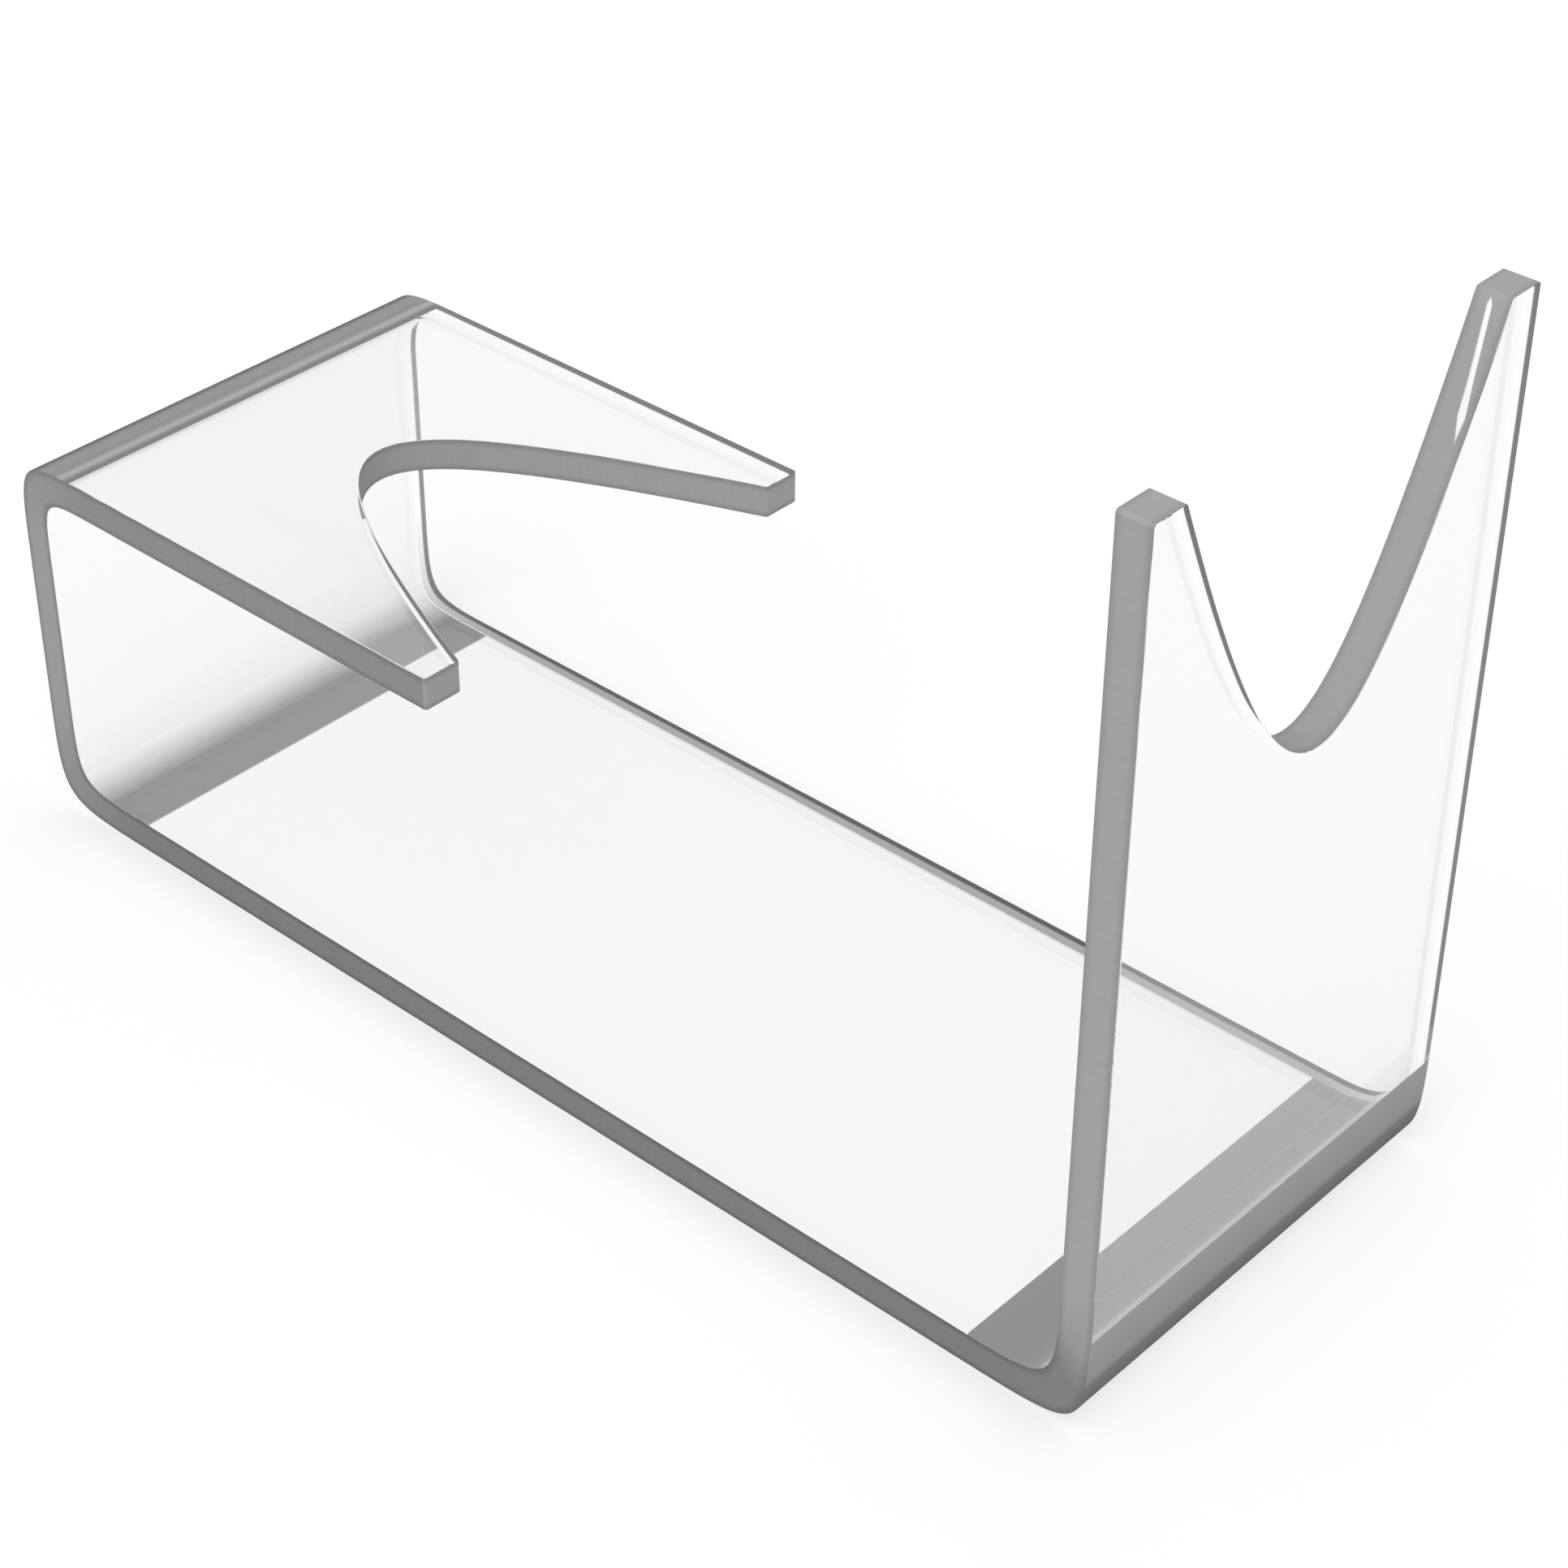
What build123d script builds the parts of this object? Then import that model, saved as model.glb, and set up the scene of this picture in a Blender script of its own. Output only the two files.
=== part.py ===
from build123d import *
from math import sqrt
import os

# Display cradle bent from one sheet of clear acrylic, in millimetres.
# X runs along the length with the tall end at +X, Y across the width, Z up.
# The origin is under the middle of the object, on the surface that it stands on.

# Sheet and overall sizes
sheet_thickness = 6.0
width = 87.0
length = 238.0  # over the outer faces of the two uprights
tall_height = 157.0  # from the ground to the tips of the tall end
shelf_height = 72.5  # from the ground to the top face of the shelf
shelf_length = 102.0  # from the short upright's outer face to the shelf's tips

# Heated strips: how far each bend reaches from the sharp outer corner before the sheet is flat
tall_bend_reach = 26.0
short_bend_reach = 24.0
shelf_bend_reach = 19.5
tall_bend_pull = 1.18  # how strongly the tall bend's outer face is drawn into its corner; 1 is a plain cubic

# Notches: open at the free end, each flank a hyperbola from the tip to the rounded root
tall_notch_depth = 55.0
tall_notch_root_radius = 9.2
tall_tip_width = 7.0
shelf_notch_depth = 57.6
shelf_notch_root_radius = 8.5
shelf_tip_width = 7.5
tip_corner_radius = 0.6  # where a long side of the sheet meets the end cut

# Places that follow from the sizes
half_width = width / 2
short_face_x = -length / 2
tall_face_x = length / 2
shelf_tip_x = short_face_x + shelf_length
shelf_underside_z = shelf_height - sheet_thickness

os.makedirs("parts", exist_ok=True)


def panel(low, high):
    """A flat panel between two opposite corners."""
    low = Vector(*low)
    size = Vector(*high) - low
    box = Box(size.X, size.Y, size.Z, align=(Align.MIN, Align.MIN, Align.MIN))
    return Pos(low.X, low.Y, low.Z) * box


def bend(corner_x, corner_z, toward_x, toward_z, reach, outer_pull=1.0):
    """A heated strip across the full width.

    The corner is the sharp outer corner that the bend rounds off. Both faces follow a cubic whose two
    middle control points lie on their own sharp corner, so the curve starts flat and is tightest half
    way round. Both faces start to curve at the same distance from the outer corner. The outer pull is
    the weight of the outer face's two middle points.
    """

    def at(along_x, along_z):
        return Vector(corner_x + toward_x * along_x, -half_width, corner_z + toward_z * along_z)

    t = sheet_thickness
    weights = [1, outer_pull, outer_pull, 1]
    outer = Bezier(at(reach, 0), at(0, 0), at(0, 0), at(0, reach), weights=weights)
    inner = Bezier(at(t, reach), at(t, t), at(t, t), at(reach, t))
    upper_end = Line(outer @ 1, inner @ 0)
    lower_end = Line(inner @ 1, outer @ 0)
    section = Face(Wire([outer, upper_end, inner, lower_end]))
    return extrude(section, amount=width, dir=(0, 1, 0))


def notched_outline(root_end, tip_end, notch_depth, root_radius, tip_width):
    """The face of a notched panel, drawn flat with the free end at +X.

    Across the panel the notch is y * y = 2 * root_radius * h + opening * h * h, with h measured from
    the root. As a rational curve each flank has its middle point where the tangent at the tip crosses
    the tangent at the root.
    """
    root_x = tip_end - notch_depth
    tip_y = half_width - tip_width
    opening = (tip_y**2 - 2 * root_radius * notch_depth) / notch_depth**2
    tip_slope = (root_radius + opening * notch_depth) / tip_y
    middle_y = tip_y - notch_depth * tip_slope
    middle_weight = sqrt(root_radius * notch_depth / 2) / middle_y
    weights = [1, middle_weight, 1]
    left_flank = Bezier((tip_end, tip_y), (root_x, middle_y), (root_x, 0), weights=weights)
    right_flank = Bezier((root_x, 0), (root_x, -middle_y), (tip_end, -tip_y), weights=weights)
    sides = Polyline(
        (tip_end, -tip_y),
        (tip_end, -half_width),
        (root_end, -half_width),
        (root_end, half_width),
        (tip_end, half_width),
        (tip_end, tip_y),
    )
    outline = Face(Wire([*sides.edges(), left_flank, right_flank]))
    tip_corners = outline.vertices().filter_by(lambda v: v.X > root_x and abs(v.Y) > tip_y + tip_width / 2)
    return fillet(tip_corners, min(tip_corner_radius, 0.45 * tip_width))


def make_base_panel():
    return panel(
        (short_face_x + short_bend_reach, -half_width, 0),
        (tall_face_x - tall_bend_reach, half_width, sheet_thickness),
    )


def make_short_upright():
    return panel(
        (short_face_x, -half_width, short_bend_reach),
        (short_face_x + sheet_thickness, half_width, shelf_height - shelf_bend_reach),
    )


def make_shelf():
    outline = notched_outline(
        short_face_x + shelf_bend_reach,
        shelf_tip_x,
        shelf_notch_depth,
        shelf_notch_root_radius,
        shelf_tip_width,
    )
    return Pos(0, 0, shelf_underside_z) * extrude(outline, amount=sheet_thickness, dir=(0, 0, 1))


def make_tall_upright():
    outline = notched_outline(
        tall_bend_reach,
        tall_height,
        tall_notch_depth,
        tall_notch_root_radius,
        tall_tip_width,
    )
    flat = extrude(outline, amount=sheet_thickness, dir=(0, 0, 1))
    return Pos(tall_face_x, 0, 0) * Rot(0, -90, 0) * flat


pieces = {
    "base_panel": make_base_panel(),
    "base_to_tall_bend": bend(tall_face_x, 0, -1, 1, tall_bend_reach, tall_bend_pull),
    "tall_upright": make_tall_upright(),
    "base_to_short_bend": bend(short_face_x, 0, 1, 1, short_bend_reach),
    "short_upright": make_short_upright(),
    "shelf_bend": bend(short_face_x, shelf_height, 1, -1, shelf_bend_reach),
    "shelf": make_shelf(),
}

for name, shape in pieces.items():
    export_step(shape, f"parts/{name}.step")
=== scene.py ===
# Clear display cradle bent from one acrylic sheet: its looks around the CAD frame, in metres.
import math

import bpy
import numpy as np
from mathutils import Matrix, Vector


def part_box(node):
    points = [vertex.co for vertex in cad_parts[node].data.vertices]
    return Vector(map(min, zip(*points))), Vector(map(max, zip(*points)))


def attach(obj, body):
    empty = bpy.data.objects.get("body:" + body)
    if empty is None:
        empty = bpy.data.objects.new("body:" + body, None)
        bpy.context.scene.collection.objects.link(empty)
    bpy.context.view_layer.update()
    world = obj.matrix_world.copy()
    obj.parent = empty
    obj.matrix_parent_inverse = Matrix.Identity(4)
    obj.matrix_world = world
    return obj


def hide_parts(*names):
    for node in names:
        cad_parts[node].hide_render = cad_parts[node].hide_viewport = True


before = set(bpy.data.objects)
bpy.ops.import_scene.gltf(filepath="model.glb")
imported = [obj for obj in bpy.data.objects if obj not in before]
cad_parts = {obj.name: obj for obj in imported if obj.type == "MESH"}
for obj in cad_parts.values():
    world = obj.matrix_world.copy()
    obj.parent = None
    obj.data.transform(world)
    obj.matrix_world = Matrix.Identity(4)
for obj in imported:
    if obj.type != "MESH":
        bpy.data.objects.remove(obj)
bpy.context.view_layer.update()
scene = bpy.context.scene
print("frame loaded:", ", ".join(sorted(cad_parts)))

# The camera that was solved from the sheet's straight edges.
photoView = {
    "place": (0.33378, -0.34958, 0.38354),
    "azimuth": 41.941,
    "elevation": 35.579,
    "roll": 0.397,
    "lens": 81.82,  # in mm, for a square picture
    "sensor": 36.0,
    "clipStart": 0.01,
}


def makeCamera(view):
    # Axes of the picture: back points from the object to the camera, right is level, then both roll.
    az, el, roll = (math.radians(view[name]) for name in ("azimuth", "elevation", "roll"))
    back = np.array([math.sin(az) * math.cos(el), -math.cos(az) * math.cos(el), math.sin(el)])
    level = np.array([math.cos(az), math.sin(az), 0.0])
    rise = np.cross(back, level)
    right = math.cos(roll) * level + math.sin(roll) * rise
    up = math.cos(roll) * rise - math.sin(roll) * level
    turn = np.eye(4)
    turn[:3, :3] = np.stack([right, up, back], axis=1)
    turn[:3, 3] = view["place"]
    lens = bpy.data.cameras.new("photoCamera")
    lens.lens = view["lens"]
    lens.sensor_width = view["sensor"]
    lens.clip_start = view["clipStart"]
    camera = bpy.data.objects.new("photoCamera", lens)
    camera.matrix_world = Matrix(turn.tolist())
    scene.collection.objects.link(camera)
    scene.camera = camera


makeCamera(photoView)
print("camera placed")

# The sheet: sizes that the frame doesn't give, its finished edges, and how finely it is drawn.
sheet = {
    "tallNotch": {"depth": 0.055, "rootRadius": 0.0092, "tipWidth": 0.007},
    "shelfNotch": {"depth": 0.0576, "rootRadius": 0.0085, "tipWidth": 0.0075},
    "tallPull": 1.18,  # how strongly the tall bend's outer face is drawn into its corner
    "tipCorner": 0.0006,  # plan radius where a long side meets an end cut
    "notchCorner": 0.0006,  # plan radius where a notch flank meets an end cut, more than arrisFace
    "arrisFace": 0.0003,  # arris on both sides of every cut edge, as it shows on the face
    "arrisCut": 0.00015,  # and on the cut
    "arrisSteps": 6,  # points round each arris
    "arrisMatt": 2,  # how many of its facets, next to the cut, are as matt as the cut
    "cutSteps": 3,  # facets across the cut between its arrises
    "bendSteps": 48,  # rings through each heated strip
    "flankSteps": 72,  # points along each notch flank
    "cornerSteps": 7,  # points round each small corner
    "cornerTries": 4000,  # places tried for the end of a flank
    "sideNormal": 0.999,  # y part of the outward normal from which a point is on a long side
}
finishes = ("clear", "cut", "arris", "shadedBend")  # in the order of the material slots

# Painted shade on the heated strips, standing in for the floor's shadow seen through their curves, and
# painted highlight lines, by distance along the sheet. The tall end's strip and the short end's are
# measured from the line where the clear base ends, the shelf's from where the short end starts to curve.
bendShadeAndHighlight = {
    "paintedShadeTone": 0.065,  # base colour of a clear face under full painted shade
    "insideShadeTones": {"tall": 0.09, "shelf": 0.75},  # base colour of a shaded strip from inside the sheet, painted shade
    "tallLine": 0.0247,  # from the tall end's outer face
    "tallSpan": (0.0, 0.0346),  # where the strip starts and ends
    # painted shade of the tall end's strip from outside, a matt grey skin
    "tallSkinShade": [
        (0.0, 0.14),
        (0.021, 0.14),
        (0.0245, 0.17),
        (0.0264, 0.19),
        (0.0272, 0.255),
        (0.028, 0.28),
        (0.0346, 0.315),
    ],
    "tallHighlight": [  # share of painted highlight, a pale matt, in the clear face beyond the strip
        (0.0346, 0.0),
        (0.0347, 0.33),
        (0.0355, 0.33),
        (0.0363, 0.14),
        (0.0398, 0.12),
        (0.0414, 0.0),
    ],
    # grey of the painted highlight
    "highlightTone": 0.9,
    "shortLine": 0.0220,  # from the short end's outer face
    # painted shade in the clear face over the short end's strip
    "shortShade": [
        (0.0, 0.0),
        (0.0003, 1.0),
        (0.009, 1.0),
        (0.012, 0.8),
        (0.015, 0.5),
        (0.018, 0.22),
        (0.022, 0.08),
        (0.030, 0.03),
        (0.058, 0.0),
    ],
    "shelfSpan": (0.0125, 0.0251),
    # painted shade of the shelf's strip from outside, with a painted highlight line near its end
    "shelfShadeAndHighlight": [
        (0.0125, 0.16),
        (0.0172, 0.16),
        (0.0181, 0.25),
        (0.0188, 0.295),
        (0.0206, 0.295),
        (0.0213, 0.27),
        (0.0219, 0.295),
        (0.0227, 0.395),
        (0.0232, 0.395),
        (0.0241, 0.225),
        (0.0251, 0.225),
    ],
}


def strip(node, corner, comesFrom, goesTo, thick, pull=1.0):
    # One heated strip, as rings of the outer and inner face. With a = (1 - u)^3 and b = u^3, a face is its
    # sharp corner plus reach * a back along one panel plus reach * b along the next. On the outer face a
    # and b are divided by a + 3 * pull * u * (1 - u) + b, which is 1 where the pull is 1.
    low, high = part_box(node)
    reach = high.x - low.x
    u = np.linspace(0.0, 1.0, sheet["bendSteps"])[:, None]
    corner, comesFrom, goesTo = (np.array(v, float) for v in (corner, comesFrom, goesTo))

    def curve(weight):
        # Points about a corner at the origin, and normals at right angles to the derivative.
        a, b = (1 - u) ** 3, u**3
        aRate, bRate = -3 * (1 - u) ** 2, 3 * u**2
        whole = a + 3 * weight * u * (1 - u) + b
        wholeRate = aRate + 3 * weight * (1 - 2 * u) + bRate
        normal = (aRate * whole - a * wholeRate) * goesTo - (bRate * whole - b * wholeRate) * comesFrom
        return (a * comesFrom + b * goesTo) / whole, normal / np.linalg.norm(normal, axis=1, keepdims=True)

    outer, outerNormal = curve(pull)
    inner, innerNormal = curve(1.0)
    return {
        "outer": corner + reach * outer,
        "inner": corner + thick * (comesFrom + goesTo) + (reach - thick) * inner,
        "outerNormal": outerNormal,
        "innerNormal": innerNormal,
    }


def flank(notch, halfWidth):
    # Half of a notch, from the middle of its root to the end cut, in (s, y): s is the distance from the
    # end cut into the panel. With h measured from the root, y^2 = 2 * rootRadius * h + opening * h^2.
    # A small arc of radius notchCorner then turns the flank into the end cut.
    depth, rootRadius = notch["depth"], notch["rootRadius"]
    tipY = halfWidth - notch["tipWidth"]
    opening = (tipY**2 - 2 * rootRadius * depth) / depth**2

    def curve(y):
        h = (np.sqrt(rootRadius**2 + opening * y**2) - rootRadius) / opening
        slope = y / (rootRadius + opening * h)
        out = np.stack([-np.ones_like(y), -slope], axis=1)
        out /= np.linalg.norm(out, axis=1, keepdims=True)
        return np.stack([depth - h, y], axis=1), out

    radius = sheet["notchCorner"]
    tryY = np.linspace(0.5 * tipY, 1.1 * tipY, sheet["cornerTries"])
    tryPoint, tryOut = curve(tryY)
    inset = tryPoint - radius * tryOut  # a centre that touches the flank
    endY = np.interp(-radius, -inset[:, 0], tryY)  # where it touches the end cut as well
    points, outs = curve(np.linspace(0.0, endY, sheet["flankSteps"]))
    centre = points[-1] - radius * outs[-1]
    first = math.atan2(-outs[-1, 1], -outs[-1, 0])
    angles = np.linspace(first, 0.0, sheet["cornerSteps"])[1:]
    arcOut = -np.stack([np.cos(angles), np.sin(angles)], axis=1)
    return np.vstack([points, centre + radius * arcOut]), np.vstack([outs, arcOut])


def armEnd(notch, halfWidth):
    # The free end of a panel, in (s, y), from the long side at +y round both prongs to the one at -y.
    radius = sheet["tipCorner"]
    angles = np.linspace(0.5 * math.pi, math.pi, sheet["cornerSteps"])
    cornerOut = np.stack([np.cos(angles), np.sin(angles)], axis=1)
    corner = np.array([radius, halfWidth - radius]) + radius * cornerOut
    notchPoints, notchOuts = flank(notch, halfWidth)
    points = np.vstack([corner, notchPoints[::-1]])
    outs = np.vstack([cornerOut, notchOuts[::-1]])
    mirror = np.array([1.0, -1.0])
    return np.vstack([points, points[-2::-1] * mirror]), np.vstack([outs, outs[-2::-1] * mirror])


def rimProfile(thick):
    # The cut edge in section, from the outer face round to the inner face: inset from the outline, depth
    # from the outer face, and the shares of the outer face's normal and of the outline's normal. The arris
    # is a quarter of an ellipse, arrisFace * (1 - sin t) in and arrisCut * (1 - cos t) down.
    onFace, onCut = sheet["arrisFace"], sheet["arrisCut"]
    t = np.linspace(0.0, 0.5 * math.pi, sheet["arrisSteps"])
    inset = onFace * (1 - np.sin(t))
    depth = onCut * (1 - np.cos(t))
    normal = np.stack([onFace * np.cos(t), onCut * np.sin(t)])
    face, out = normal / np.linalg.norm(normal, axis=0)
    cutDepth = np.linspace(onCut, thick - onCut, sheet["cutSteps"] + 1)[1:-1]
    level = np.zeros_like(cutDepth)
    return {
        "inset": np.concatenate([inset, level, inset[::-1]]),
        "depth": np.concatenate([depth, cutDepth, thick - depth[::-1]]),
        "face": np.concatenate([face, level, -face[::-1]]),
        "out": np.concatenate([out, level + 1, out[::-1]]),
    }


def sheetRings(thick):
    # Rings along the sheet in (x, z), from the tall end's tips down, along the base, up and out to the
    # shelf's tips, with s, the distance along the middle of the sheet.
    tallLow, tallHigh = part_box("tall_upright")
    shelfLow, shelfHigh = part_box("shelf")
    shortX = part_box("short_upright")[0].x
    east, west, rise, fall = (1, 0), (-1, 0), (0, 1), (0, -1)

    def end(outer, inner, normal):
        return {"outer": [outer], "inner": [inner], "outerNormal": [normal], "innerNormal": [normal]}

    parts = [
        end((tallHigh.x, tallHigh.z), (tallLow.x, tallHigh.z), east),
        strip("base_to_tall_bend", (tallHigh.x, 0), rise, west, thick, sheet["tallPull"]),
        strip("base_to_short_bend", (shortX, 0), east, rise, thick),
        strip("shelf_bend", (shortX, shelfHigh.z), fall, east, thick),
        end((shelfHigh.x, shelfHigh.z), (shelfHigh.x, shelfLow.z), rise),
    ]
    rings = {key: np.vstack([part[key] for part in parts]).astype(float) for key in parts[0]}
    middle = 0.5 * (rings["outer"] + rings["inner"])
    rings["s"] = np.concatenate([[0.0], np.cumsum(np.linalg.norm(np.diff(middle, axis=0), axis=1))])
    return rings


def shadedBendPlaces(rings):
    # Distances along the sheet: both ends of each bend, the lines that painted shade is measured from with
    # the way it runs, and the two strips with a skin of painted shade.
    bendS = rings["s"][1:-1].reshape(3, -1)
    outerX = rings["outer"][1:-1, 0].reshape(3, -1)
    tallLine = np.interp(bendShadeAndHighlight["tallLine"], outerX[0, 0] - outerX[0], bendS[0])
    shortLine = np.interp(bendShadeAndHighlight["shortLine"], (outerX[1] - outerX[1, -1])[::-1], bendS[1][::-1])
    lines = {"tall": (tallLine, -1), "short": (shortLine, 1), "shelf": (bendS[2, 0], 1)}
    shadedStrips = []
    for name in ("tall", "shelf"):
        line, way = lines[name]
        shadedStrips.append(sorted(line + way * distance for distance in bendShadeAndHighlight[name + "Span"]))
    return {"bends": bendS[:, [0, -1]].ravel(), "lines": lines, "shadedStrips": shadedStrips}


def along(rings, key, s):
    # Values of a ring quantity at distance s along the sheet.
    return np.stack([np.interp(s, rings["s"], column) for column in rings[key].T], axis=-1)


def addRings(rings, places):
    # The same rings with one more at each place along the sheet.
    where = np.searchsorted(rings["s"], places)
    return {
        key: np.insert(rings[key], where, places if key == "s" else along(rings, key, places), axis=0)
        for key in rings
    }


def sheetOutline(rings, halfWidth):
    # The outline in (s, y) with its outward normal: +y side, shelf end, -y side, tall end. Each long side
    # has a point at every ring but the first and the last. The number of points in each stretch follows.
    bendS, lastS = rings["s"][1:-1], rings["s"][-1]
    tallEnd, tallOut = armEnd(sheet["tallNotch"], halfWidth)
    shelfEnd, shelfOut = armEnd(sheet["shelfNotch"], halfWidth)
    fromShelf = np.array([-1.0, 1.0])
    shelfEnd = np.array([lastS, 0.0]) + shelfEnd * fromShelf
    plusSide = np.stack([bendS, np.full(len(bendS), halfWidth)], axis=1)
    minusSide = plusSide[::-1] * np.array([1.0, -1.0])
    plusOut = np.tile([0.0, 1.0], (len(bendS), 1))
    stretches = (plusSide, shelfEnd, minusSide, tallEnd[::-1])
    outward = np.vstack([plusOut, shelfOut * fromShelf, -plusOut, tallOut[::-1]])
    return np.vstack(stretches), outward, [len(stretch) for stretch in stretches]


def rimGrid(rings, profile, outline, outward, thick):
    # Outline points by profile points: the profile is carried along the outline, inset from it, and its
    # depth is a share of the way from the outer face to the inner face of the ring at s.
    s = outline[:, :1] - outward[:, :1] * profile["inset"]
    y = outline[:, 1:] - outward[:, 1:] * profile["inset"]
    share = (profile["depth"] / thick)[None, :, None]
    section = (1 - share) * along(rings, "outer", s) + share * along(rings, "inner", s)
    faceNormal = (1 - share) * along(rings, "outerNormal", s) + share * along(rings, "innerNormal", s)
    faceNormal /= np.linalg.norm(faceNormal, axis=-1, keepdims=True)
    travel = np.stack([faceNormal[..., 1], -faceNormal[..., 0]], axis=-1)  # along the sheet, with growing s
    inPlane = profile["face"][None, :, None] * faceNormal
    inPlane = inPlane + (profile["out"] * outward[:, :1])[..., None] * travel
    sideways = profile["out"] * outward[:, 1:]
    points = np.stack([section[..., 0], y, section[..., 1]], axis=-1).reshape(-1, 3)
    normals = np.stack([inPlane[..., 0], sideways, inPlane[..., 1]], axis=-1).reshape(-1, 3)
    longSide = np.abs(outward[:, 1:]) > sheet["sideNormal"]
    marks = {"run": s, "depth": share[..., 0], "side": longSide}
    return points, normals, {name: np.broadcast_to(values, s.shape) for name, values in marks.items()}


def sheetFaces(counts, columns):
    # Rim quads, then for the outer and the inner face the ladder of strips between the two long sides and
    # the two notched ends. The first and last columns of the rim are the borders of the two faces.
    rows, count, shelfCount = sum(counts), counts[0], counts[1]
    here = np.arange(rows)[:, None] * columns + np.arange(columns - 1)
    there = np.roll(here, -1, axis=0)
    rim = np.stack([here, there, there + 1, here + 1], axis=-1).reshape(-1, 4)
    plusRow = np.arange(count)
    minusRow = count + shelfCount + np.arange(count)[::-1]
    ladder = np.stack([plusRow[:-1], minusRow[:-1], minusRow[1:], plusRow[1:]], axis=1)
    shelfRow = np.arange(count - 1, count + shelfCount + 1)[::-1]
    tallRow = np.append(np.arange(minusRow[0], rows), 0)[::-1]
    outer = [*(ladder * columns).tolist(), (shelfRow * columns).tolist(), (tallRow * columns).tolist()]
    inner = [[point + columns - 1 for point in reversed(face)] for face in outer]
    return rim.tolist(), outer, inner


def finishSlots(places, rings, outline, columns, faceCount):
    # Material slots of the rim's quads and then of both faces.
    number = {name: index for index, name in enumerate(finishes)}

    def inShadedStrip(first, last):
        # Whether the stretch of sheet between two places is in a strip with a skin of painted shade.
        between = 0.5 * (first + last)
        return np.any([(low < between) & (between < high) for low, high in places["shadedStrips"]], axis=0)

    facets = sheet["arrisSteps"] - 1 - sheet["arrisMatt"]
    rimSlot = np.full((len(outline), columns - 1), number["cut"], np.int32)
    rimSlot[:, :facets] = number["arris"]
    rimSlot[:, -facets:] = number["arris"]
    rimSlot[inShadedStrip(outline[:, 0], np.roll(outline[:, 0], -1)), :facets] = number["shadedBend"]
    faceSlot = np.full(faceCount, number["clear"], np.int32)
    bendS = rings["s"][1:-1]
    faceSlot[: len(bendS) - 1][inShadedStrip(bendS[1:], bendS[:-1])] = number["shadedBend"]
    return np.concatenate([rimSlot.ravel(), faceSlot])


def buildSheet():
    # One closed surface, whose rim and faces share their points.
    baseLow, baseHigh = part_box("base_panel")
    thick, halfWidth = baseHigh.z - baseLow.z, baseHigh.y
    rings = sheetRings(thick)
    places = shadedBendPlaces(rings)
    rings = addRings(rings, np.ravel(places["shadedStrips"]))
    profile = rimProfile(thick)
    columns = len(profile["inset"])
    outline, outward, counts = sheetOutline(rings, halfWidth)
    points, normals, marks = rimGrid(rings, profile, outline, outward, thick)
    rim, outer, inner = sheetFaces(counts, columns)

    mesh = bpy.data.meshes.new("acrylic_sheet")
    mesh.from_pydata(points.tolist(), [], [*rim, *outer, *inner])
    slots = finishSlots(places, rings, outline, columns, len(outer) + len(inner))
    mesh.polygons.foreach_set("material_index", slots)
    mesh.polygons.foreach_set("use_smooth", np.ones(len(slots), bool))
    for name, values in marks.items():
        values = values.astype(np.float32).ravel()
        mesh.attributes.new(name, "FLOAT", "POINT").data.foreach_set("value", values)
    mesh.update()
    mesh.normals_split_custom_set_from_vertices(normals.tolist())
    piece = bpy.data.objects.new("acrylic_sheet", mesh)
    scene.collection.objects.link(piece)
    print("sheet drawn:", len(points), "points,", len(slots), "faces")
    return piece, places, rings["s"][-1], thick


def put(tree, kind, feeds=None, **options):
    # A shader node with its options, and with each input set to a value or linked from a socket.
    node = tree.nodes.new("ShaderNode" + kind)
    for name, value in options.items():
        setattr(node, name, value)
    for name, value in (feeds or {}).items():
        if isinstance(value, bpy.types.NodeSocket):
            tree.links.new(value, node.inputs[name])
        else:
            node.inputs[name].default_value = value
    return node


def sums(tree, operation, *values):
    # A Math node's result.
    return put(tree, "Math", dict(enumerate(values)), operation=operation).outputs[0]


def mapped(tree, value, fromMin, fromMax, toMin=0.0, toMax=1.0):
    # A value carried from one range to another and held at its ends.
    ranges = {"From Min": fromMin, "From Max": fromMax, "To Min": toMin, "To Max": toMax}
    return put(tree, "MapRange", {"Value": value, **ranges}).outputs["Result"]


def blend(tree, share, first, second, kind="MIX"):
    # A colour between two colours, by share.
    return put(tree, "Mix", {0: share, 6: first, 7: second}, data_type="RGBA", blend_type=kind).outputs[2]


def grey(level):
    return (level, level, level, 1.0)


def ramp(tree, place, stops):
    # A colour ramp of greys with its stops at (place, level).
    node = put(tree, "ValToRGB", {"Fac": place})
    marks = node.color_ramp.elements
    marks[0].position, marks[-1].position = stops[0][0], stops[-1][0]
    marks[0].color, marks[-1].color = grey(stops[0][1]), grey(stops[-1][1])
    for position, level in stops[1:-1]:
        marks.new(position).color = grey(level)
    return node.outputs["Color"]


def byDistance(tree, run, line, stops):
    # A ramp along the sheet from a line, with its stops at distances from it.
    start, way = line
    first, last = stops[0][0], stops[-1][0]
    place = mapped(tree, run, start + way * first, start + way * last)
    return ramp(tree, place, [((distance - first) / (last - first), level) for distance, level in stops])


def byPanel(tree, run, length, marks, levels):
    # A ramp along the whole sheet, from marks of (place, name) and a level for each name.
    stops = [(mark / length, levels[name]) for mark, name in marks]
    return ramp(tree, sums(tree, "DIVIDE", run, length), stops)


def panelMarks(places):
    # Where each panel's own value starts and ends along the sheet. It changes over evenly in the bends.
    names = ("tall", "base", "base", "short", "short", "shelf")
    return list(zip(places["bends"], names))


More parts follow.
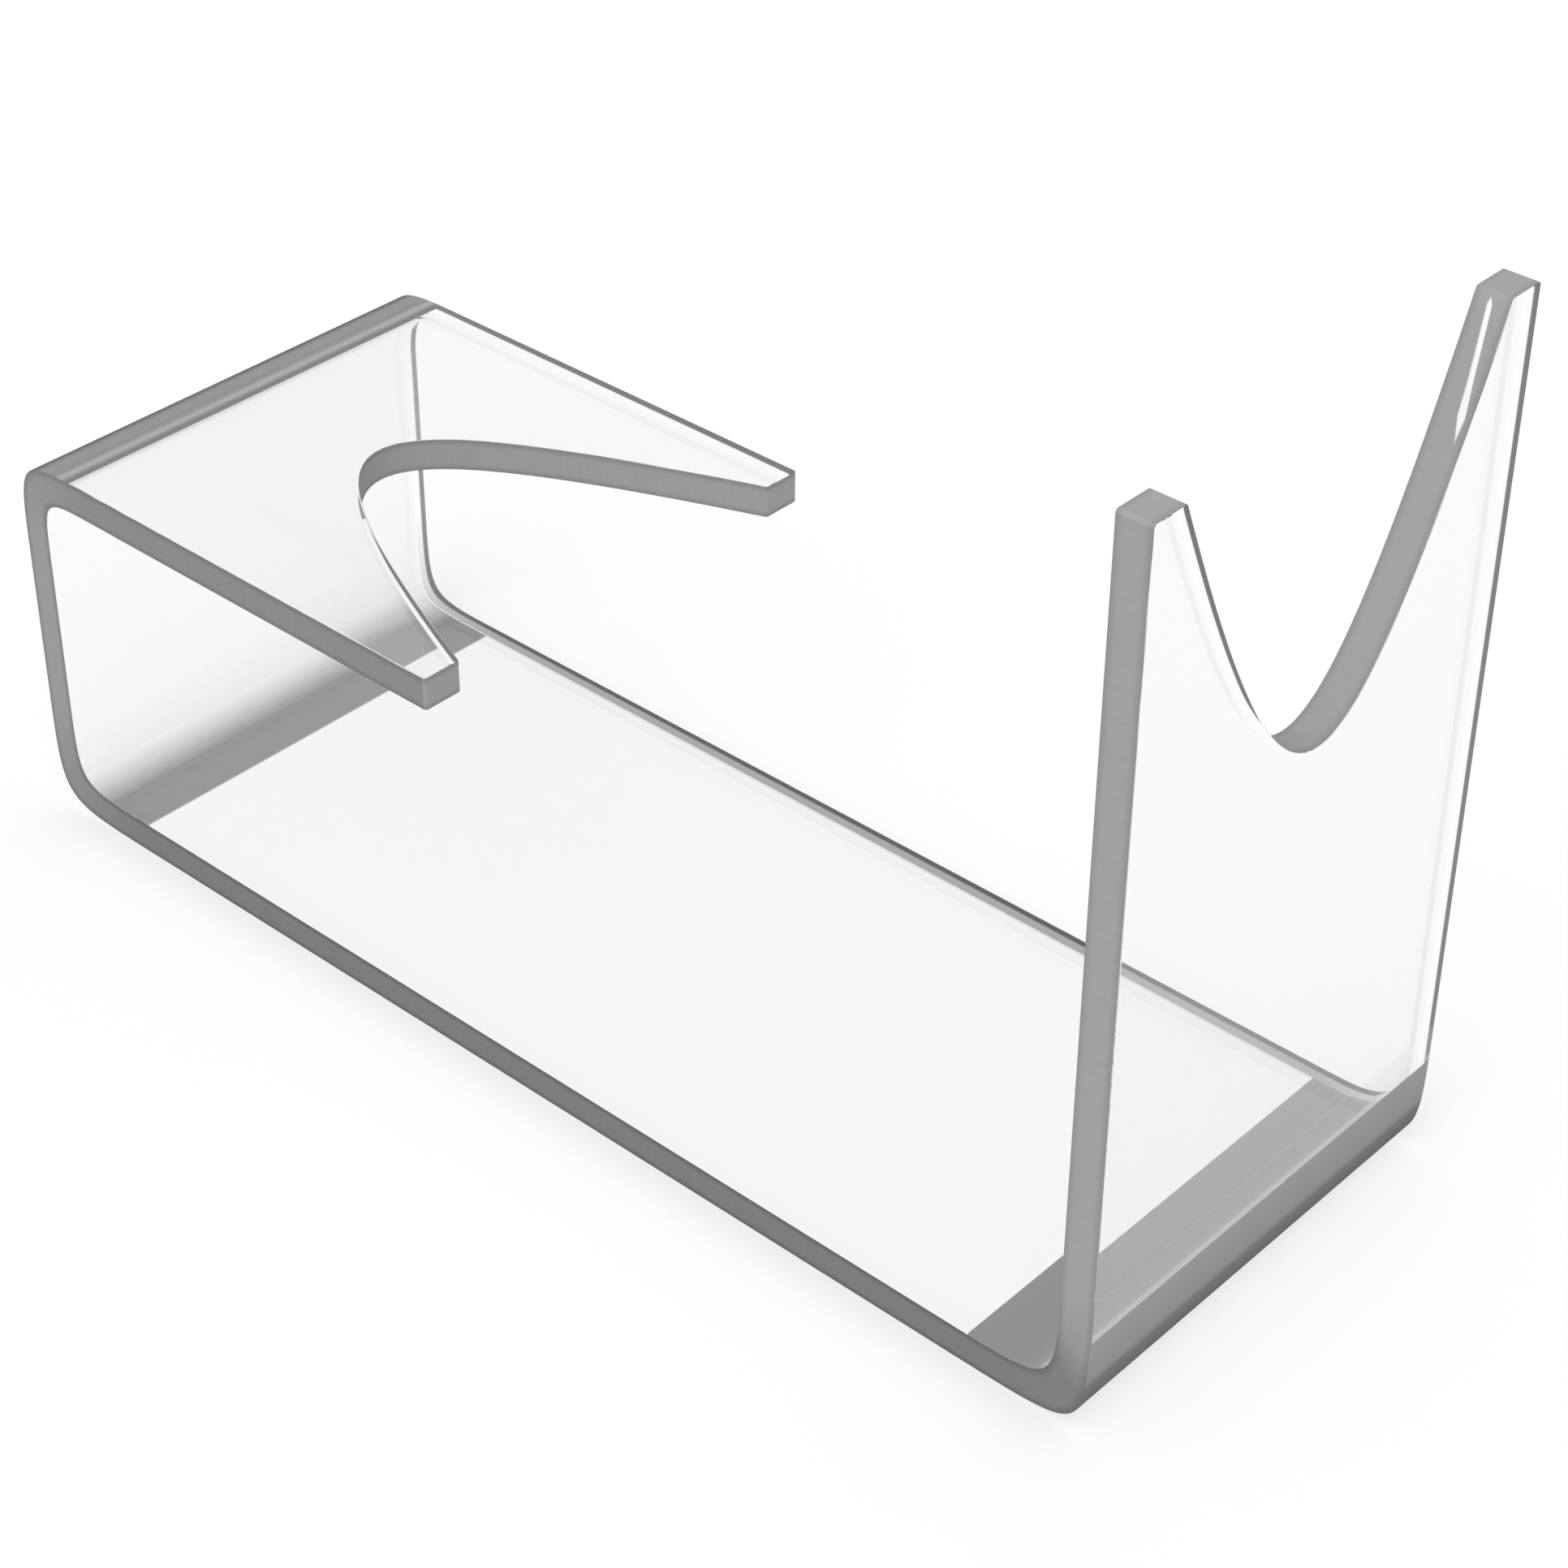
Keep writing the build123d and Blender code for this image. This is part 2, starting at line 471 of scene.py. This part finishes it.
def makeGroup(name, inputs, outputs):
    # An empty node group with its sockets, given as input names and as output name: kind.
    group = bpy.data.node_groups.new(name, "ShaderNodeTree")
    for socket in inputs:
        group.interface.new_socket(socket, in_out="INPUT", socket_type="NodeSocketFloat")
    for socket, kind in outputs.items():
        group.interface.new_socket(socket, in_out="OUTPUT", socket_type="NodeSocket" + kind)
    return group, group.nodes.new("NodeGroupInput"), group.nodes.new("NodeGroupOutput")


def paintedShadeGroup(places):
    # Painted shade in the clear outer face, from the short end's line up.
    group, entry, leave = makeGroup("paintedBendShade", ("Run", "Depth"), {"PaintedShade": "Float"})
    shadeAmount = byDistance(group, entry.outputs["Run"], places["lines"]["short"], bendShadeAndHighlight["shortShade"])
    outside = sums(group, "SUBTRACT", 1.0, entry.outputs["Depth"])
    group.links.new(sums(group, "MULTIPLY", shadeAmount, outside), leave.inputs["PaintedShade"])
    return group


def shadeSkinGroup(places):
    # The painted grey of the two shaded strips from outside: painted shade, with a painted highlight line
    # on the shelf's.
    group, entry, leave = makeGroup("paintedShadeSkin", ("Run",), {"Tone": "Float"})
    run = entry.outputs["Run"]
    tall = byDistance(group, run, places["lines"]["tall"], bendShadeAndHighlight["tallSkinShade"])
    shelf = byDistance(group, run, places["lines"]["shelf"], bendShadeAndHighlight["shelfShadeAndHighlight"])
    onTall = sums(group, "LESS_THAN", run, places["lines"]["short"][0])
    tall = sums(group, "MULTIPLY", tall, onTall)
    shelf = sums(group, "MULTIPLY", shelf, sums(group, "SUBTRACT", 1.0, onTall))
    group.links.new(sums(group, "ADD", tall, shelf), leave.inputs["Tone"])
    return group


# The cut edges: a matt grey for each panel, partly the cut's own finish and partly painted shade, darker at
# the base and the tall bend's corner and along both borders as painted shade. Through a face, the inside of
# a back edge shows as a painted dark line, painted shade, along the side of the sheet that is turned to the
# eye.
edge = {
    # the base and the tall bend's corner are darker: painted shade near the floor
    "sides": {"tall": 0.334, "foot": 0.302, "corner": 0.21, "base": 0.201, "short": 0.31, "shelf": 0.245},
    "ends": {"crown": 0.36, "tall": 0.335, "shelf": 0.285, "tip": 0.312},  # end cuts and notch flanks
    "crownDepth": 0.004,
    "foot": 0.20,  # share of the tall bend that still has nearly the tall end's tone
    "corner": 0.38,  # and where its corner of painted shade starts
    "borderShades": {"tall": 0.82, "base": 0.62, "short": 0.70, "shelf": 0.72},  # what the borders keep of it, painted shade
    "borderWidth": 0.0011,
    "marks": {"scale": 1400.0, "detail": 3.0, "across": 0.0006, "strength": 0.05},  # faint marks of the cut
    "lines": {"tall": 0.125, "base": 0.085, "short": 0.28, "shelf": 0.16},  # tones of the dark line, painted shade
    "lineDepths": {"tall": 0.0030, "base": 0.0029, "short": 0.0032, "shelf": 0.0035},
    "lineSoft": 0.0006,
    "lineTaper": 0.006,  # length over which the line thins out before it changes sides
    "flankDepths": {"tall": 0.0031, "root": 0.0009, "shelf": 0.0043},
    "flankFades": {"tall": (0.039, 0.0475), "shelf": (0.030, 0.056)},  # from the tips, towards the root
    "under": 0.38,  # painted shade of the rest of the base's edge from inside
}
# A clear slit along the tall notch's flanks, from the tips down, with depths as shares of the sheet.
slit = {
    "starts": 0.0006,
    "ends": 0.0200,
    "depths": (0.545, 0.21),
    "halfWidth": [(0.0, 0.0), (0.06, 0.085), (0.55, 0.09), (0.8, 0.12), (1.0, 0.0)],
    "soft": 0.04,
}


def cutGroup(places, length, thick):
    # The tone of a cut edge from outside, partly painted shade, with faint marks of the cut, and of its
    # dark line from inside, which is painted shade.
    group, entry, leave = makeGroup("cutTone", ("Run", "Depth", "Side"), {"Tone": "Color", "Line": "Color"})
    run, depth = entry.outputs["Run"], entry.outputs["Depth"]
    tallStart, tallEnd = places["bends"][:2]
    onTallBend = [(tallStart + edge[name] * (tallEnd - tallStart), name) for name in ("foot", "corner")]
    marks = panelMarks(places)
    sides = byPanel(group, run, length, [marks[0], *onTallBend, *marks[1:]], edge["sides"])
    crown = [(0.0, "crown"), (edge["crownDepth"], "tall")]
    ends = byPanel(group, run, length, [*crown, marks[0], marks[-1], (length, "tip")], edge["ends"])
    panelTone = blend(group, entry.outputs["Side"], ends, sides)
    fromMiddle = sums(group, "ABSOLUTE", sums(group, "SUBTRACT", depth, 0.5))
    rim = 0.5 - sheet["arrisCut"] / thick
    atRim = mapped(group, fromMiddle, rim - edge["borderWidth"] / thick, rim)
    borderShade = blend(group, atRim, grey(1.0), byPanel(group, run, length, marks, edge["borderShades"]))
    tone = blend(group, 1.0, panelTone, borderShade, "MULTIPLY")

    scratch = edge["marks"]
    xyz = put(group, "SeparateXYZ", {0: put(group, "TexCoord").outputs["Object"]})
    across = sums(group, "MULTIPLY", depth, scratch["across"])
    pattern = put(group, "CombineXYZ", {"X": run, "Y": across, "Z": xyz.outputs["Y"]})
    feeds = {"Vector": pattern.outputs[0], "Scale": scratch["scale"], "Detail": scratch["detail"]}
    noise = put(group, "TexNoise", feeds).outputs["Fac"]
    marking = mapped(group, noise, 0.0, 1.0, 1.0 - scratch["strength"], 1.0 + scratch["strength"])
    group.links.new(blend(group, 1.0, tone, marking, "MULTIPLY"), leave.inputs["Tone"])
    group.links.new(byPanel(group, run, length, marks, edge["lines"]), leave.inputs["Line"])
    return group


# Plain values of the finishes, and the light that each lets through where it casts a shadow.
looks = {
    "clearTone": 0.962,
    "index": 1.49,  # of acrylic
    "mattRoughness": 0.6,
    "shadows": {"clear": 0.985, "shadedBend": 0.7, "cut": 0.33, "cutInside": 0.9, "arris": 0.5},
}


def newTree(name):
    material = bpy.data.materials.new(name)
    material.use_nodes = True
    material.node_tree.nodes.clear()
    return material, material.node_tree


def acrylic(tree, tone, index=looks["index"]):
    # Clear acrylic with a base colour from a socket or a value.
    feeds = {"Base Color": tone, "Roughness": 0.0, "IOR": index, "Transmission Weight": 1.0}
    return put(tree, "BsdfPrincipled", feeds).outputs[0]


def straightOut(tree):
    # Light goes on from inside the sheet without a bend or a mirror.
    return acrylic(tree, grey(1.0), 1.0)


def scraped(tree, tone):
    # A matt surface without gloss.
    feeds = {"Base Color": tone, "Roughness": looks["mattRoughness"], "Specular IOR Level": 0.0}
    return put(tree, "BsdfPrincipled", feeds).outputs[0]


def mixShaders(tree, share, first, second):
    return put(tree, "MixShader", {0: share, 1: first, 2: second}).outputs[0]


def attribute(tree, name):
    return put(tree, "Attribute", attribute_name=name).outputs["Fac"]


def onSheet(tree, group):
    # A group that knows its place on the sheet.
    node = put(tree, "Group", node_tree=group)
    for socket in node.inputs:
        tree.links.new(attribute(tree, socket.name.lower()), socket)
    return node.outputs


def fromInside(tree):
    return put(tree, "NewGeometry").outputs["Backfacing"]


def hasBeen(tree, path, kind):
    # 1 for a ray that was let through (Transmission) or mirrored (Glossy) at least once.
    return sums(tree, "GREATER_THAN", path.outputs[kind + " Depth"], 0.5)


def lightThrough(tree, surface, shadow, insideShadow=None):
    # Light that falls on the floor shines through with a faint shadow, from lamps and from all round. A
    # face mirrors the surround but not the rest of the sheet: a mirrored ray in the open, which has crossed
    # an even number of faces, goes straight on.
    path = put(tree, "LightPath")
    crossed = sums(tree, "MODULO", path.outputs["Transmission Depth"], 2.0)
    inOpen = sums(tree, "LESS_THAN", crossed, 0.5)
    mirrored = hasBeen(tree, path, "Glossy")
    passing = put(tree, "BsdfTransparent").outputs[0]
    straight = mixShaders(tree, sums(tree, "MULTIPLY", inOpen, mirrored), surface, passing)
    surface = mixShaders(tree, path.outputs["Is Glossy Ray"], surface, straight)
    shadeTone = grey(looks["shadows"][shadow])
    if insideShadow is not None:
        shadeTone = blend(tree, fromInside(tree), shadeTone, grey(looks["shadows"][insideShadow]))
    shade = put(tree, "BsdfTransparent", {"Color": shadeTone}).outputs[0]
    for ray in ("Is Shadow Ray", "Is Diffuse Ray"):
        surface = mixShaders(tree, path.outputs[ray], surface, shade)
    put(tree, "OutputMaterial", {"Surface": surface})


def clearFace(places):
    # Clear, with painted shade over the short end's bend and a painted highlight line above the tall end's.
    material, tree = newTree("clear_face")
    shadeAmount = onSheet(tree, paintedShadeGroup(places))["PaintedShade"]
    clear = acrylic(tree, blend(tree, shadeAmount, grey(looks["clearTone"]), grey(bendShadeAndHighlight["paintedShadeTone"])))
    highlightShare = byDistance(tree, attribute(tree, "run"), places["lines"]["tall"], bendShadeAndHighlight["tallHighlight"])
    highlightShare = sums(tree, "MULTIPLY", highlightShare, sums(tree, "SUBTRACT", 1.0, attribute(tree, "depth")))
    highlightSurface = scraped(tree, grey(bendShadeAndHighlight["highlightTone"]))
    lightThrough(tree, mixShaders(tree, highlightShare, clear, highlightSurface), "clear")
    return material


def shadedBendFace(places, length):
    # A matt skin of painted shade from outside, and dark glass from inside, also painted shade.
    material, tree = newTree("shaded_bend_face")
    shadeSkin = scraped(tree, onSheet(tree, shadeSkinGroup(places))["Tone"])
    ends = [(places["bends"][1], "tall"), (places["bends"][4], "shelf")]
    inside = acrylic(tree, byPanel(tree, attribute(tree, "run"), length, ends, bendShadeAndHighlight["insideShadeTones"]))
    lightThrough(tree, mixShaders(tree, fromInside(tree), shadeSkin, inside), "shadedBend")
    return material


def slitMask(tree):
    # 1 in the clear slit: within its half width of a centre that moves evenly through the sheet.
    run, first, last = attribute(tree, "run"), slit["starts"], slit["ends"]
    centre = mapped(tree, run, first, last, *slit["depths"])
    half = ramp(tree, mapped(tree, run, first, last), slit["halfWidth"])
    off = sums(tree, "ABSOLUTE", sums(tree, "SUBTRACT", attribute(tree, "depth"), centre))
    mask = mapped(tree, off, sums(tree, "SUBTRACT", half, slit["soft"]), half, 1.0, 0.0)
    onFlank = sums(tree, "SUBTRACT", 1.0, attribute(tree, "side"))
    return sums(tree, "MULTIPLY", mask, onFlank)


def shadeLineMask(tree, places, length, thick):
    # The dark line it marks is painted shade.
    # 1 from the side of the sheet that is turned to the eye down to the line's depth: the outer face on the
    # tall end and the shelf, and the inner face between the middles of their bends. The line thins out
    # towards those middles, and on the flanks towards the root of the notch.
    run, bends = attribute(tree, "run"), places["bends"]
    turns = [0.5 * (bends[0] + bends[1]), 0.5 * (bends[4] + bends[5])]
    face = sums(tree, "GREATER_THAN", run, turns[0])
    face = sums(tree, "MULTIPLY", face, sums(tree, "LESS_THAN", run, turns[1]))
    off = sums(tree, "ABSOLUTE", sums(tree, "SUBTRACT", attribute(tree, "depth"), face))

    def depths(name, marks):
        shares = {panel: value / thick for panel, value in edge[name].items()}
        return byPanel(tree, run, length, marks, shares)

    tallFull, tallThin = edge["flankFades"]["tall"]
    shelfFull, shelfThin = (length - tip for tip in edge["flankFades"]["shelf"])
    flankMarks = [(tallFull, "tall"), (tallThin, "root"), (shelfThin, "root"), (shelfFull, "shelf")]
    flanks = depths("flankDepths", flankMarks)
    last = blend(tree, attribute(tree, "side"), flanks, depths("lineDepths", panelMarks(places)))
    for turn in turns:
        away = sums(tree, "ABSOLUTE", sums(tree, "SUBTRACT", run, turn))
        last = sums(tree, "MULTIPLY", last, mapped(tree, away, 0.0, edge["lineTaper"]))
    return mapped(tree, off, sums(tree, "SUBTRACT", last, edge["lineSoft"] / thick), last, 1.0, 0.0)


def baseMask(tree, places):
    # 1 along the base, falling to 0 through its two bends.
    run, bends = attribute(tree, "run"), places["bends"]
    after = mapped(tree, run, 0.5 * (bends[0] + bends[1]), bends[1])
    before = mapped(tree, run, bends[2], bends[3], 1.0, 0.0)
    return sums(tree, "MULTIPLY", after, before)


def cutEdge(places, length, thick):
    # Matt from outside but for the slit, in a grey that is partly painted shade. From inside light goes
    # straight out but for the dark line and along the base, which are painted shade.
    material, tree = newTree("cut_edge")
    tones = onSheet(tree, cutGroup(places, length, thick))
    outside = mixShaders(tree, slitMask(tree), scraped(tree, tones["Tone"]), acrylic(tree, grey(1.0)))
    line = shadeLineMask(tree, places, length, thick)
    clear = straightOut(tree)
    under = mixShaders(tree, baseMask(tree, places), clear, scraped(tree, grey(edge["under"])))
    inside = mixShaders(tree, line, under, scraped(tree, tones["Line"]))
    lightThrough(tree, mixShaders(tree, fromInside(tree), outside, inside), "cut", "cutInside")
    return material


def arrisLine():
    # Clear from outside. From inside, light goes straight out.
    material, tree = newTree("arris")
    outside = acrylic(tree, grey(looks["clearTone"]))
    inside = straightOut(tree)
    lightThrough(tree, mixShaders(tree, fromInside(tree), outside, inside), "arris")
    return material


cradle, places, length, thick = buildSheet()
materials = {
    "clear": clearFace(places),
    "cut": cutEdge(places, length, thick),
    "arris": arrisLine(),
    "shadedBend": shadedBendFace(places, length),
}
for name in finishes:
    cradle.data.materials.append(materials[name])
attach(cradle, "root")
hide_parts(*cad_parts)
print("materials set:", ", ".join(finishes))

# Pale floor and soft light.
studio = {
    "floorSize": 6.0,
    "floorDrop": 0.0002,  # air between the sheet and the floor
    "floorTone": 0.95,
    "ambient": 0.75,  # level of the surround that lights the floor
    "sky": 0.85,  # level of the surround where a face mirrors it
    "lamp": 1.2,
    "lampFrom": (0.4, -0.7, 1.2),
    "lampSpread": 45.0,  # how wide the soft lamp looks from the object, in degrees
    "white": 0.28,  # share of the floor that is plain white, the rest takes the shadow
    "bounces": 48,
}


def floorMaterial():
    # Matt, with a share of plain white where the eye sees it directly, through the sheet or mirrored.
    material, tree = newTree("floor_white")
    path = put(tree, "LightPath")
    matt = put(tree, "BsdfDiffuse", {"Color": grey(studio["floorTone"])}).outputs[0]
    white = put(tree, "Emission", {"Strength": 1.0}).outputs[0]
    seen = path.outputs["Is Camera Ray"]
    for kind in ("Transmission", "Glossy"):
        seen = sums(tree, "MAXIMUM", seen, hasBeen(tree, path, kind))
    share = sums(tree, "MULTIPLY", seen, studio["white"])
    put(tree, "OutputMaterial", {"Surface": mixShaders(tree, share, matt, white)})
    return material


def makeFloor():
    half = studio["floorSize"] / 2
    corners = np.array([(-1, -1, 0), (1, -1, 0), (1, 1, 0), (-1, 1, 0)]) * half
    mesh = bpy.data.meshes.new("floor")
    mesh.from_pydata((corners - (0, 0, studio["floorDrop"])).tolist(), [], [(0, 1, 2, 3)])
    mesh.materials.append(floorMaterial())
    floor = bpy.data.objects.new("floor", mesh)
    scene.collection.objects.link(floor)


def makeSurround():
    # White to the eye, and lower where it lights the floor or is mirrored in a face.
    world = bpy.data.worlds.new("studio")
    world.use_nodes = True
    tree = world.node_tree
    path = put(tree, "LightPath")
    lights = mapped(tree, path.outputs["Is Diffuse Ray"], 0.0, 1.0, 1.0, studio["ambient"])
    shows = mapped(tree, hasBeen(tree, path, "Glossy"), 0.0, 1.0, 1.0, studio["sky"])
    background = tree.nodes["Background"]
    background.inputs["Color"].default_value = grey(1.0)
    tree.links.new(sums(tree, "MULTIPLY", lights, shows), background.inputs["Strength"])
    scene.world = world


def makeLamp():
    # One wide soft lamp, which doesn't show in the sheet.
    lamp = bpy.data.lights.new("windowLight", "SUN")
    lamp.energy = studio["lamp"]
    lamp.angle = math.radians(studio["lampSpread"])
    window = bpy.data.objects.new("windowLight", lamp)
    window.rotation_euler = Vector(studio["lampFrom"]).to_track_quat("Z", "Y").to_euler()
    window.visible_glossy = False
    window.visible_transmission = False
    scene.collection.objects.link(window)


makeFloor()
makeSurround()
makeLamp()
scene.cycles.max_bounces = studio["bounces"]
scene.cycles.glossy_bounces = studio["bounces"]
scene.cycles.transmission_bounces = studio["bounces"]
print("studio lit")

scene.view_settings.view_transform = "Standard"
